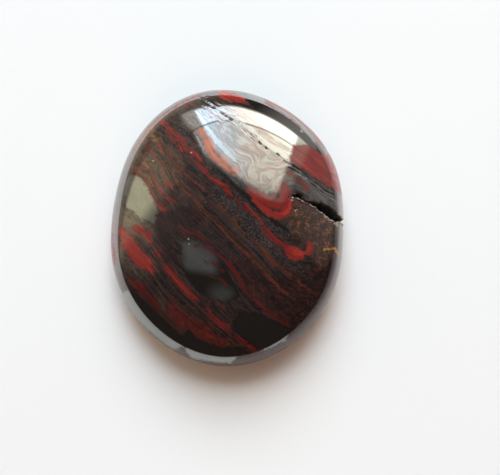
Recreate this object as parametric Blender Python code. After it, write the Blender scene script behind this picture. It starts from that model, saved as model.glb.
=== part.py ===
"""A polished free-form cabochon of mugglestone: one domed stone on a flat back.

The stone stands on z = 0 with the middle of its box over the origin, +X to the
right and +Y away from the viewer. Sizes are in millimetres until a mesh is
made, and in metres from then on.
"""

from math import atan2, cos, hypot, pi, radians, sin, sqrt

import bmesh
import bpy
from mathutils import Vector

MM = 0.001

# Driving dimensions of the stone
MEAN_RADIUS = 14.0
DOME_HEIGHT = 5.0
GIRDLE_HEIGHT = 2.0
UNDERCUT = 2.4

# The dome's highest point, off the middle of the outline
APEX = (2.1, -4.0)

# Swells of the outline about its mean radius: crests around it, height, and the bearing of
# one crest in degrees. The first makes it an oval, the rest make it a natural one.
SWELLS = (
    (2, 1.28, 89),
    (3, 0.06, -7),
    (4, 0.12, 25),
    (5, 0.06, 39),
    (6, 0.06, 29),
)

# Mesh density
SPOKES = 132
DOME_RINGS = 20
UNDERSIDE_RINGS = 6

# Open fissure at the right, as x, y and half-width along its middle line. It starts as a
# small slot, closes to a thin neck, then widens and runs out through the rim.
FISSURE = (
    (6.50, 1.72, 0.04),
    (6.80, 1.75, 0.15),
    (7.15, 1.71, 0.22),
    (7.45, 1.57, 0.19),
    (7.75, 1.36, 0.08),
    (8.10, 1.18, 0.08),
    (8.50, 1.08, 0.11),
    (9.00, 0.98, 0.22),
    (9.50, 0.80, 0.34),
    (10.00, 0.57, 0.43),
    (10.50, 0.28, 0.55),
    (11.00, 0.01, 0.63),
    (11.50, -0.16, 0.56),
    (12.00, -0.16, 0.40),
    (12.60, -0.28, 0.30),
    (13.60, -0.40, 0.30),
)
FISSURE_DEPTH = 1.1
FISSURE_FLOOR_SHARE = 0.3
FISSURE_LEAN = -0.45

# Two hairline seams in the dark band above the fissure, as points along each
SEAMS = (
    ((6.4, 5.25), (7.0, 5.0), (7.5, 4.6), (8.1, 4.1), (8.5, 3.65), (9.4, 3.15), (11.2, 2.2)),
    ((6.5, 4.75), (7.2, 4.35), (7.9, 3.9), (8.4, 3.4), (8.9, 3.0), (9.6, 2.55), (11.2, 1.85)),
)
SEAM_HALF_WIDTH = 0.06
SEAM_DEPTH = 0.14
SEAM_FLOOR_SHARE = 0.2

# Pits: x, y and the radius of the opening
PITS = (
    (6.82, 0.40, 0.13),
    (5.30, 6.30, 0.14),
    (4.10, 6.95, 0.15),
    (3.40, 7.60, 0.15),
    (2.50, 8.60, 0.12),
    (1.30, 10.10, 0.12),
    (0.50, 10.45, 0.14),
    (8.10, 9.50, 0.18),
    (11.70, -0.95, 0.12),
)
PIT_SINK = 0.45

# Chip on the rim just below the mouth of the fissure: centre, and radii along x, y and z
CHIP_CENTRE = (12.95, -0.95, 2.60)
CHIP_RADII = (0.75, 0.50, 0.80)

# How far a cutter stands out over the surface
PROUD = 0.6

# Steps of the search for a point's share
HALVINGS = 30

JASPER_BROWN = (0.118, 0.034, 0.026, 1.0)
POLISH_ROUGHNESS = 0.08


def outline_radius(bearing):
    """Distance in mm from the middle of the stone to its outline along a bearing in radians."""
    swell = sum(
        height * cos(crests * (bearing - radians(crest_bearing)))
        for crests, height, crest_bearing in SWELLS
    )
    return MEAN_RADIUS + swell


def share_at(x, y):
    """How far out a point in plan lies, from 0 at the apex to 1 on the outline.

    The share is found by halving: blown up from the apex by its inverse, the point meets the
    outline.
    """
    low, high = 0.0, 1.0
    for _ in range(HALVINGS):
        middle = 0.5 * (low + high)
        far_x = APEX[0] + (x - APEX[0]) / middle
        far_y = APEX[1] + (y - APEX[1]) / middle
        if hypot(far_x, far_y) > outline_radius(atan2(far_y, far_x)):
            low = middle
        else:
            high = middle
    return high


def dome_height(x, y):
    """Height in mm of the polished top over a point: half an ellipse from apex to outline."""
    return GIRDLE_HEIGHT + DOME_HEIGHT * sqrt(1.0 - share_at(x, y) ** 2)


def profile():
    """The stone's section from beside the apex out to the base, as (share, inset, height).

    The dome is a quarter ellipse on the share, and the underside turns in from the outline by
    a second quarter ellipse on the inset in mm.
    """
    section = []
    for ring in range(1, DOME_RINGS + 1):
        turn = 0.5 * pi * ring / DOME_RINGS
        section.append((sin(turn), 0.0, GIRDLE_HEIGHT + DOME_HEIGHT * cos(turn)))
    for ring in range(1, UNDERSIDE_RINGS + 1):
        turn = 0.5 * pi * ring / UNDERSIDE_RINGS
        section.append((1.0, UNDERCUT * (1.0 - cos(turn)), GIRDLE_HEIGHT * (1.0 - sin(turn))))
    return section


def ring_point(bearing, share, inset, height):
    """A point in metres of one ring: the outline shrunk towards the apex, then inset."""
    reach = outline_radius(bearing) - inset
    x = APEX[0] * (1.0 - share) + share * reach * cos(bearing)
    y = APEX[1] * (1.0 - share) + share * reach * sin(bearing)
    return Vector((x, y, height)) * MM


def stone_polish():
    """The stone's own material: dark red-brown with a high polish."""
    material = bpy.data.materials.new("polished_mugglestone")
    material.use_nodes = True
    shader = material.node_tree.nodes["Principled BSDF"]
    shader.inputs["Base Color"].default_value = JASPER_BROWN
    shader.inputs["Metallic"].default_value = 0.0
    shader.inputs["Roughness"].default_value = POLISH_ROUGHNESS
    return material


def new_object(name, bm):
    """Turns a bmesh into an object of the scene."""
    bmesh.ops.recalc_face_normals(bm, faces=bm.faces)
    mesh = bpy.data.meshes.new(name)
    bm.to_mesh(mesh)
    bm.free()
    obj = bpy.data.objects.new(name, mesh)
    bpy.context.scene.collection.objects.link(obj)
    return obj


def stone_body():
    """The whole stone before it is broken: rings of the section, an apex and a flat back."""
    bm = bmesh.new()
    bearings = [2.0 * pi * spoke / SPOKES for spoke in range(SPOKES)]
    rings = [
        [bm.verts.new(ring_point(bearing, *station)) for bearing in bearings]
        for station in profile()
    ]
    apex = bm.verts.new(ring_point(0.0, 0.0, 0.0, GIRDLE_HEIGHT + DOME_HEIGHT))
    for spoke in range(SPOKES):
        after = (spoke + 1) % SPOKES
        bm.faces.new((apex, rings[0][spoke], rings[0][after]))
        for inner, outer in zip(rings, rings[1:]):
            bm.faces.new((inner[spoke], outer[spoke], outer[after], inner[after]))
    back = bm.faces.new(list(reversed(rings[-1])))
    for face in bm.faces:
        face.smooth = face is not back
    return new_object("stone", bm)


def side_step(points, index):
    """Unit vector in plan square to a route at one of its points, to the route's left."""
    before = points[max(index - 1, 0)]
    after = points[min(index + 1, len(points) - 1)]
    along = Vector((after[0] - before[0], after[1] - before[1]))
    along.normalize()
    return Vector((-along.y, along.x))


def wedge_along(name, stations, depth, floor_share, lean=0.0):
    """A closed wedge that follows the surface: wide and proud on top, narrow at its floor.

    Each station is (x, y, half-width at the surface) in mm. The floor's half-width and its
    lean to the left are shares of that half-width.
    """
    bm = bmesh.new()
    sections = []
    for index, (x, y, half_width) in enumerate(stations):
        side = side_step(stations, index)
        surface = dome_height(x, y)
        flare = half_width * (1.0 + (1.0 - floor_share) * PROUD / depth)
        corners = (
            (flare, surface + PROUD),
            (-flare, surface + PROUD),
            (half_width * (lean - floor_share), surface - depth),
            (half_width * (lean + floor_share), surface - depth),
        )
        sections.append(
            [bm.verts.new(Vector((x + side.x * w, y + side.y * w, z)) * MM) for w, z in corners]
        )
    for near, far in zip(sections, sections[1:]):
        for corner in range(4):
            after = (corner + 1) % 4
            bm.faces.new((near[corner], near[after], far[after], far[corner]))
    bm.faces.new(sections[0])
    bm.faces.new(list(reversed(sections[-1])))
    return new_object(name, bm)


def pit_cutters():
    """One small ball for each pit, sunk below the surface by part of its radius."""
    bm = bmesh.new()
    for x, y, opening in PITS:
        sink = PIT_SINK * opening
        made = bmesh.ops.create_icosphere(bm, subdivisions=2, radius=hypot(opening, sink) * MM)
        place = Vector((x, y, dome_height(x, y) - sink)) * MM
        bmesh.ops.translate(bm, verts=made["verts"], vec=place)
    return new_object("pit_cutters", bm)


def chip_cutter():
    """A coarse, stretched ball, so the chip that it leaves has a few flat breaks."""
    bm = bmesh.new()
    made = bmesh.ops.create_icosphere(bm, subdivisions=1, radius=MM)
    bmesh.ops.scale(bm, verts=made["verts"], vec=Vector(CHIP_RADII))
    bmesh.ops.translate(bm, verts=made["verts"], vec=Vector(CHIP_CENTRE) * MM)
    return new_object("chip_cutter", bm)


def cut(stone, cutter):
    """Takes a cutter's shape out of the stone."""
    cutter.hide_render = True
    cutter.display_type = "WIRE"
    boolean = stone.modifiers.new(cutter.name, "BOOLEAN")
    boolean.operation = "DIFFERENCE"
    boolean.solver = "EXACT"
    boolean.object = cutter


def main():
    for obj in list(bpy.data.objects):
        bpy.data.objects.remove(obj)
    stone = stone_body()
    stone.data.materials.append(stone_polish())
    fissure = wedge_along(
        "fissure_cutter", FISSURE, FISSURE_DEPTH, FISSURE_FLOOR_SHARE, FISSURE_LEAN
    )
    cut(stone, fissure)
    for number, route in enumerate(SEAMS, start=1):
        stations = [(x, y, SEAM_HALF_WIDTH) for x, y in route]
        cut(stone, wedge_along(f"seam_cutter_{number}", stations, SEAM_DEPTH, SEAM_FLOOR_SHARE))
    cut(stone, pit_cutters())
    cut(stone, chip_cutter())


main()
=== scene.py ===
"""The finished look of a polished mugglestone cabochon, lying on a plain pale floor.

Sizes are in millimetres in the part's own frame: the middle of the stone's box is over the
origin, z = 0 is the flat back, +X runs right and +Y away from the viewer. A mesh is turned to
metres as it is made. A range is a low and a high value that are mapped to 0 and 1, or to the two
numbers that follow them.
"""

import logging
from dataclasses import dataclass
from enum import Enum
from math import pi, radians
from typing import Any

import bpy
import numpy as np
from mathutils import Euler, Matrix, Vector


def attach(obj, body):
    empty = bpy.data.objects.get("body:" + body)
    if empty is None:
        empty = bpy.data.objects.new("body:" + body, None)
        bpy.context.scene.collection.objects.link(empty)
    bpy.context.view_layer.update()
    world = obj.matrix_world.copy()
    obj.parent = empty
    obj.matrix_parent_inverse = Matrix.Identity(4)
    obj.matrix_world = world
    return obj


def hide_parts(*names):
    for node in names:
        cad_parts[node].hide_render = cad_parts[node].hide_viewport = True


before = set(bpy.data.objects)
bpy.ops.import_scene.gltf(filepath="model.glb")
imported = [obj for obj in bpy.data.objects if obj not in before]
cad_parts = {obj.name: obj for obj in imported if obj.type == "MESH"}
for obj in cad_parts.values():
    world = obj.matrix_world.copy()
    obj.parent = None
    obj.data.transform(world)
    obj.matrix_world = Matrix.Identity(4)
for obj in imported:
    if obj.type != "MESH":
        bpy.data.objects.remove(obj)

MM = 0.001
log = logging.getLogger("mugglestone")

Array = np.ndarray
Socket = bpy.types.NodeSocket
Point = tuple[float, float]
Place = tuple[float, float, float]
Range = tuple[float, ...]


def hex_colour(code: str) -> tuple[float, float, float, float]:
    """Turns an sRGB hex code into linear RGBA, by the curve of the sRGB standard.

    Args:
        code: a hash and six hex digits.

    Returns:
        Red, green, blue and alpha in linear light.
    """
    channels = np.array([int(code[i : i + 2], 16) for i in (1, 3, 5)]) / 255.0
    linear = np.where(channels <= 0.04045, channels / 12.92, ((channels + 0.055) / 1.055) ** 2.4)
    return (float(linear[0]), float(linear[1]), float(linear[2]), 1.0)


def rise(value: Array, low: float, high: float, start: float = 0.0, end: float = 1.0) -> Array:
    """Turns from start to end with level ends, by the share 3t squared less 2t cubed.

    Args:
        value: numbers to place on the rise.
        low: the value that it starts from.
        high: the value that it ends at.
        start: what it gives at low.
        end: what it gives at high.

    Returns:
        What each value gives.
    """
    share = np.clip((value - low) / (high - low), 0.0, 1.0)
    return start + (end - start) * share * share * (3.0 - 2.0 * share)


@dataclass(frozen=True)
class Noise:
    """Smooth noise over the plan, from -1 to 1 times its height.

    Each corner of a square lattice gets a number from a hash of its place, which is the part
    after the point of a large sine, and a level-ended rise blends the numbers across the square.
    The grain is the side of a square in mm, and the seed picks one pattern out of many.
    """

    height: float
    grain: float
    seed: int
    hash_steps: Place = (127.1, 311.7, 74.7)
    hash_gain: float = 43758.5453

    def corner(self, column: Array, row: Array) -> Array:
        """Hashed number from -1 to 1 of a lattice corner."""
        steps = zip((column, row, self.seed), self.hash_steps)
        return 2.0 * (np.sin(sum(part * step for part, step in steps)) * self.hash_gain % 1.0) - 1.0

    def at(self, x: Array, y: Array) -> Array:
        """Blends the four corners of each place's square.

        Args:
            x: places across, in mm.
            y: places up, in mm.

        Returns:
            The noise at each place.
        """
        across, up = x / self.grain, y / self.grain
        column, row = np.floor(across), np.floor(up)
        blend_x = rise(across - column, 0.0, 1.0)
        blend_y = rise(up - row, 0.0, 1.0)
        near, far = (
            self.corner(column, line) * (1.0 - blend_x) + self.corner(column + 1, line) * blend_x
            for line in (row, row + 1)
        )
        return self.height * (near * (1.0 - blend_y) + far * blend_y)


def smooth_route(points: Array, steps: int = 5) -> Array:
    """Reads a smooth curve through the given points.

    Each span is a cubic whose slope at a point is half the step between its two neighbours.

    Args:
        points: rows of numbers along the route, place first.
        steps: points read from each span.

    Returns:
        The finer rows, ending with the last point.
    """
    if len(points) < 3:
        return points
    padded = np.vstack([2 * points[0] - points[1], points, 2 * points[-1] - points[-2]])
    before, start, end, after = padded[:-3], padded[1:-2], padded[2:-1], padded[3:]
    t = (np.arange(steps) / steps)[None, :, None]
    before, start, end, after = (rows[:, None, :] for rows in (before, start, end, after))
    curve = 0.5 * (
        2 * start
        + (end - before) * t
        + (2 * before - 5 * start + 4 * end - after) * t**2
        + (3 * start - before - 3 * end + after) * t**3
    )
    return np.vstack([curve.reshape(-1, points.shape[1]), points[-1:]])


@dataclass(frozen=True)
class Reach:
    """How places lie beside a route: all arrays, one number for each place."""

    distance: Array
    side: Array
    along: Array
    carried: Array


def beside(route: Array, x: Array, y: Array) -> Reach:
    """Measures places against a route: each takes its nearest point on any of the spans.

    Args:
        route: rows of x, y and any number carried along.
        x: places across, in mm.
        y: places up, in mm.

    Returns:
        The distance, the side (+1 left of the route), the share of the way along it, and the
        carried numbers at the nearest point.
    """
    spans = np.hypot(*np.diff(route[:, :2], axis=0).T)
    starts = np.concatenate([[0.0], np.cumsum(spans)])
    nearest = np.full(x.shape, np.inf)
    side = np.ones(x.shape)
    along = np.zeros(x.shape)
    carried = np.zeros(x.shape + (route.shape[1] - 2,))
    for index, length in enumerate(spans):
        start, step = route[index], route[index + 1] - route[index]
        off_x, off_y = x - start[0], y - start[1]
        share = np.clip((off_x * step[0] + off_y * step[1]) / (length * length), 0.0, 1.0)
        gap = np.hypot(off_x - share * step[0], off_y - share * step[1])
        closer = gap < nearest
        nearest = np.where(closer, gap, nearest)
        side = np.where(closer, np.sign(step[0] * off_y - step[1] * off_x), side)
        along = np.where(closer, (starts[index] + share * length) / starts[-1], along)
        here = start[2:] + share[..., None] * step[2:]
        carried = np.where(closer[..., None], here, carried)
    return Reach(nearest, side, along, carried)


def inside(corners: Array, x: Array, y: Array) -> Array:
    """Tests places against a closed outline by counting the sides that a ray to +X crosses.

    Args:
        corners: rows of x and y, not repeated at the end.
        x: places across, in mm.
        y: places up, in mm.

    Returns:
        True where a place is inside.
    """
    within = np.zeros(x.shape, bool)
    for (x0, y0), (x1, y1) in zip(corners, np.roll(corners, -1, axis=0)):
        rising = (y0 > y) != (y1 > y)
        crossing = x0 + (y - y0) * (x1 - x0) / (y1 - y0 if y1 != y0 else 1.0)
        within ^= rising & (x < crossing)
    return within


class Mineral(Enum):
    """What a clean bed is made of.

    Each holds its attribute's name, how far in mm the fine noise moves its edge for each unit of
    noise, and half the edge's softness in mm.
    """

    JASPER = ("jasper", 0.6, 0.12)
    OCHRE = ("ochre", 0.42, 0.06)
    HEMATITE = ("hematite", 0.5, 0.12)

    def __init__(self, label: str, wander: float, softness: float) -> None:
        """Names the parts of the value.

        Args:
            label: the attribute's name.
            wander: how far the noise moves the edge, in mm.
            softness: half the edge's softness in mm.
        """
        self.label = label
        self.wander = wander
        self.softness = softness


class Ground(Enum):
    """Kinds of finely mixed ground between the clean beds.

    Each holds its attribute's name, the sRGB colours of its dark and light layers and of its
    bright streaks, how much of its pattern is grain, and its share of hematite.
    """

    LAMINATED = ("laminated", "#1E1517", "#3C2C2A", "#5E281D", 0.32, 0.10)
    KHAKI = ("khaki", "#241B16", "#4E3D30", "#70402A", 0.40, 0.06)
    GRANULAR = ("granular", "#1F1717", "#3E3736", "#4E2520", 0.80, 0.13)
    MOTTLED = ("mottled", "#32231F", "#553A2B", "#7C4A28", 0.95, 0.05)
    PURPLE = ("purple", "#1E1416", "#302124", "#451D1A", 0.45, 0.05)
    MAROON = ("maroon", "#1F1415", "#341F1D", "#50251C", 0.42, 0.05)
    OXBLOOD = ("oxblood", "#3C1715", "#60231E", "#74281F", 0.60, 0.03)
    GREY = ("grey_laminae", "#242121", "#5A5650", "#5E2A24", 0.40, 0.28)
    CONTORTED = ("contorted", "#1E1D1C", "#36383A", "#703428", 0.30, 0.58)
    RUSTY = ("rusty", "#2A1E18", "#55402F", "#70402C", 0.50, 0.34)
    SILVERY = ("silvery_laminae", "#2A2220", "#4A3A36", "#8A4A40", 0.30, 0.80)
    SALMON = ("salmon", "#9C5038", "#B87650", "#BC5A40", 0.30, 0.12)

    def __init__(
        self, label: str, dark: str, light: str, streak: str, grain: float, iron: float
    ) -> None:
        """Names the parts of the value.

        Args:
            label: the attribute's name.
            dark: colour of the dark layers.
            light: colour of the light layers.
            streak: colour of the bright streaks.
            grain: share of grain in the pattern.
            iron: share of hematite.
        """
        self.label = label
        self.dark = dark
        self.light = light
        self.streak = streak
        self.grain = grain
        self.iron = iron


@dataclass(frozen=True)
class Bed:
    """A thin bed of one mineral: a route over the stone, with its half-width in mm.

    The tone runs from 0, dark, to 1, bright. At either end a bed thins over the taper, a share of
    its length, to the tip, a share of its width. A bed with a level, in mm, guides the layers
    beside it.
    """

    points: tuple[Point, ...]
    half_width: float
    tone: float = 0.6
    taper: float = 0.15
    level: float | None = None
    tip: float = 0.25

    def margin(self, x: Array, y: Array) -> Array:
        """Measures how far inside the bed places lie: its half-width there less their distance.

        Args:
            x: places across, in mm.
            y: places up, in mm.

        Returns:
            The margin of each place in mm, negative outside.
        """
        reach = beside(smooth_route(np.array(self.points)), x, y)
        end = np.clip(np.minimum(reach.along, 1.0 - reach.along) / self.taper, 0.0, 1.0)
        width = self.half_width * (self.tip + (1.0 - self.tip) * np.sqrt(end))
        return width - reach.distance


@dataclass(frozen=True)
class Patch:
    """A broad area of one mineral or ground: a closed outline over the stone."""

    corners: tuple[Point, ...]
    tone: float = 0.6

    def margin(self, x: Array, y: Array) -> Array:
        """Measures how far inside the outline places lie.

        Args:
            x: places across, in mm.
            y: places up, in mm.

        Returns:
            The margin of each place in mm, negative outside.
        """
        corners = np.array(self.corners)
        closed = np.vstack([corners, corners[:1]])
        distance = beside(closed, x, y).distance
        return np.where(inside(corners, x, y), distance, -distance)


JASPER, OCHRE, HEMATITE = Mineral.JASPER, Mineral.OCHRE, Mineral.HEMATITE

BEDS: dict[Mineral, tuple[Bed, ...]] = {
    JASPER: (
        Bed(((-7.3, 11.1), (-6.1, 9.6), (-4.8, 8.1), (-4.5, 7.2), (-3.7, 6.7), (-2.5, 4.9), (-1.6, 3.6),
            (-1.2, 3.2)), 0.24, 0.55, level=1.3),
        Bed(((-1.5, 3.5), (-0.4, 2.9), (0.1, 2.1), (0.4, 1.5)), 0.26, 0.5),
        Bed(((0.8, 1.8), (1.1, 1.0), (1.5, 0.5), (2.0, -0.1)), 0.14, 0.3, 0.4, level=1.3),
        Bed(((-6.2, 8.8), (-5.6, 8.2), (-5.0, 7.5), (-4.6, 6.8)), 0.1, 0.45),
        Bed(((-4.9, -1.3), (-4.0, -1.9), (-3.0, -2.3), (-2.0, -3.2), (-1.0, -4.2), (-0.1, -5.0),
            (0.5, -5.9), (1.1, -6.8), (1.8, -8.0), (2.8, -9.0), (3.8, -9.9), (5.0, -10.7),
            (6.0, -11.3)), 0.15, 0.16, 0.06, level=-3.6),
        Bed(((-7.5, 3.5), (-7.0, 2.8), (-6.2, 1.9), (-5.6, 1.4), (-5.3, 1.2)), 0.16, 0.35),
        Bed(((-9.9, -0.9), (-9.0, -1.4), (-8.2, -1.9), (-7.8, -2.7)), 0.34, 0.65),
        Bed(((-7.4, -3.5), (-7.0, -4.0), (-6.8, -4.4)), 0.2, 0.6),
        Bed(((-6.4, -5.1), (-5.9, -5.8), (-4.6, -7.3), (-3.4, -8.4),
            (-3.0, -8.8)), 0.21, 0.5, 0.1, level=-7.8),
        Bed(((-2.3, -9.4), (-1.1, -10.8), (-0.5, -11.2), (0.1, -11.7)), 0.19, 0.45, 0.1, level=-7.8),
        Bed(((0.4, -12.1), (1.0, -12.5), (1.8, -13.1), (2.8, -13.8)), 0.16, 0.35, level=-7.8),
        Bed(((-10.4, -5.8), (-9.0, -7.3), (-8.2, -8.0), (-7.0, -9.6)), 0.2, 0.2, level=-11.5),
        Bed(((2.4, 2.0), (2.9, 1.2), (3.5, 0.5), (4.3, -0.1), (5.1, -0.4), (5.7, 0.0), (6.05, 0.7),
            (6.1, 1.3), (6.0, 1.9)), 0.4, 0.8, level=3.4),
        Bed(((2.0, 2.3), (3.0, 1.6), (4.0, 1.0), (5.0, 0.8), (5.6, 1.3), (5.8, 2.2),
            (5.7, 3.2)), 0.45, 0.62, level=4.0),
        Bed(((3.3, -1.0), (3.9, -2.1), (4.6, -2.7), (5.3, -3.3), (6.1, -3.9), (6.9, -4.3),
            (7.5, -4.3)), 0.24, 0.5, 0.3, level=1.6),
        Bed(((5.6, -3.7), (6.5, -4.2), (7.1, -4.3), (7.5, -4.2)), 0.6, 0.75, 0.4),
        Bed(((1.6, 1.0), (2.4, 0.0), (3.3, -1.0)), 0.14, 0.6, 0.4),
        Bed(((7.6, -4.3), (8.0, -4.0), (8.2, -3.5), (8.1, -3.0)), 0.34, 0.7, 0.6, level=1.6),
        Bed(((4.3, 13.0), (5.5, 12.1), (7.0, 10.9), (8.0, 9.9)), 0.16, 0.4),
        Bed(((6.1, 4.4), (7.0, 3.8), (7.8, 3.0), (8.5, 2.4)), 0.2, 0.4),
        Bed(((-10.3, 5.1), (-9.8, 4.9), (-9.0, 4.4), (-8.5, 3.8), (-8.1, 3.2), (-7.8, 2.3), (-7.4, 1.6),
            (-7.0, 0.9), (-6.2, 0.6)), 0.15, 0.4, 0.1, level=-4.4),
        Bed(((-9.4, 5.7), (-8.5, 5.2), (-7.9, 4.4), (-7.4, 3.6)), 0.12, 0.3, level=-3.7),
        Bed(((-3.4, -3.2), (-2.2, -3.6), (-1.2, -4.4)), 0.12, 0.12),
        Bed(((-2.3, -4.9), (-1.3, -5.2), (-0.4, -6.0)), 0.16, 0.12),
        Bed(((-2.0, -6.3), (-0.9, -6.7), (0.0, -7.4)), 0.12, 0.08),
        Bed(((4.2, 13.9), (6.9, 12.4), (9.0, 10.6), (10.9, 8.0)), 0.5, 0.5, 0.1),
        Bed(((-9.0, 9.8), (-7.2, 11.7), (-5.0, 13.2), (-2.6, 14.3)), 0.16, 0.4, 0.1),
        Bed(((-12.7, 2.6), (-12.8, 0.0), (-12.6, -2.4), (-12.0, -4.6)), 0.5, 0.6, 0.1),
        Bed(((-5.6, 12.6), (-5.2, 12.2)), 0.08, 0.5),
        Bed(((-4.6, 13.0), (-4.2, 12.2)), 0.1, 0.5),
        Bed(((-3.9, 13.0), (-3.3, 12.4)), 0.08, 0.5),
        Bed(((-8.9, 8.3), (-8.4, 7.6), (-8.0, 7.1), (-7.2, 6.2), (-6.6, 5.4),
            (-6.0, 4.8)), 0.12, 0.25, level=-1.6),
        Bed(((-7.3, 7.9), (-6.9, 7.3), (-6.2, 6.5)), 0.12, 0.3, level=-0.9),
        Bed(((-6.6, 3.4), (-6.1, 3.2), (-5.7, 2.9)), 0.22, 0.5),
    ),
    OCHRE: (
        Bed(((-6.0, 6.4), (-5.4, 5.6), (-4.9, 4.8), (-4.3, 4.2), (-3.3, 3.2), (-2.6, 2.7), (-2.0, 2.1),
            (-1.3, 1.3), (-0.2, 0.1), (0.9, -1.3), (2.2, -2.6), (3.6, -4.1), (4.3, -5.0), (5.2, -5.7),
            (6.2, -6.5), (7.2, -7.2), (8.2, -7.9), (9.0, -8.2)), 0.09, 0.0, 0.05, level=0.0),
        Bed(((-5.0, 3.2), (-4.4, 2.5), (-3.6, 1.7), (-3.1, 1.0), (-2.5, 0.2), (-1.3, -1.0), (-0.1, -2.3),
            (1.0, -3.5), (2.6, -5.1), (3.4, -6.0), (4.3, -7.0), (5.2, -7.8),
            (6.2, -8.4)), 0.1, 0.0, 0.05, level=-1.3),
        Bed(((-9.8, 5.35), (-8.9, 4.85), (-8.2, 4.15), (-7.75, 3.3),
            (-7.5, 2.6)), 0.08, 0.15, level=-4.1),
        Bed(((-10.3, 7.5), (-9.5, 8.9), (-8.4, 10.3), (-7.2, 11.5)), 0.12, 0.3, 0.06),
        Bed(((9.7, -3.7), (10.5, -3.6), (11.0, -3.5), (11.3, -3.9), (11.9, -4.1)), 0.06, 1.0),
        Bed(((-7.6, 8.3), (-8.1, 9.1)), 0.14, 0.35),
        Bed(((-9.0, 6.1), (-8.6, 5.7), (-8.3, 5.2)), 0.07, 0.3),
    ),
    HEMATITE: (
        Bed(((7.4, 4.3), (8.4, 3.4), (9.6, 2.6), (11.2, 1.7)), 0.2, 0.5),
        Bed(((7.2, 3.4), (8.2, 2.7), (9.4, 2.1), (11.0, 1.3)), 0.12, 0.5),
        Bed(((1.6, 10.3), (2.8, 8.95), (3.8, 7.85), (4.7, 7.1), (5.6, 6.5), (6.5, 5.6)), 0.26, 0.5),
        Bed(((-3.4, 11.6), (-2.7, 10.4), (-2.0, 9.3), (-1.3, 8.2), (-0.7, 7.4), (0.1, 6.4),
            (0.9, 5.4)), 0.26, 0.5),
        Bed(((-3.4, 8.9), (-2.2, 6.2), (-1.0, 4.8), (0.0, 3.7), (1.0, 2.6), (2.0, 1.5), (3.0, 0.3),
            (4.0, -0.4), (5.0, -1.3), (6.0, -2.0)), 0.2, 0.3, 0.2, level=2.3),
        Bed(((-3.0, 13.8), (-2.2, 13.0), (-1.5, 12.2)), 0.25, 0.5),
    ),
}

# Levels, in mm, that the layers follow where no clean bed shows them
GUIDES: tuple[tuple[float, tuple[Point, ...]], ...] = (
    (2.9, ((-3.1, 9.4), (-2.6, 8.6), (-2.0, 7.6), (-1.5, 6.6), (-0.8, 5.4), (0.0, 4.7), (0.7, 3.9),
        (1.5, 3.1), (2.2, 2.3))),
    (4.4, ((2.0, 3.3), (2.8, 2.6), (3.6, 2.3), (4.4, 2.6), (5.0, 3.3))),
    (4.6, ((-2.2, 10.4), (-0.4, 7.9), (1.0, 6.2), (2.4, 4.8))),
    (5.2, ((-2.0, 12.5), (0.5, 10.5), (2.0, 9.0), (3.5, 7.5), (5.0, 6.5))),
    (4.9, ((6.3, 5.2), (7.5, 4.5), (8.6, 3.5), (9.8, 2.8), (11.0, 2.2))),
    (6.4, ((7.0, 7.5), (9.0, 5.8), (11.0, 4.2))),
    (8.6, ((3.0, 13.6), (6.0, 11.4), (8.4, 9.0))),
    (-6.0, ((-10.8, 1.4), (-9.0, 0.0), (-7.7, -1.0))),
    (-9.6, ((-10.2, -3.0), (-8.4, -5.0), (-6.0, -8.4), (-3.0, -11.0), (-0.5, -13.2))),
)

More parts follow.
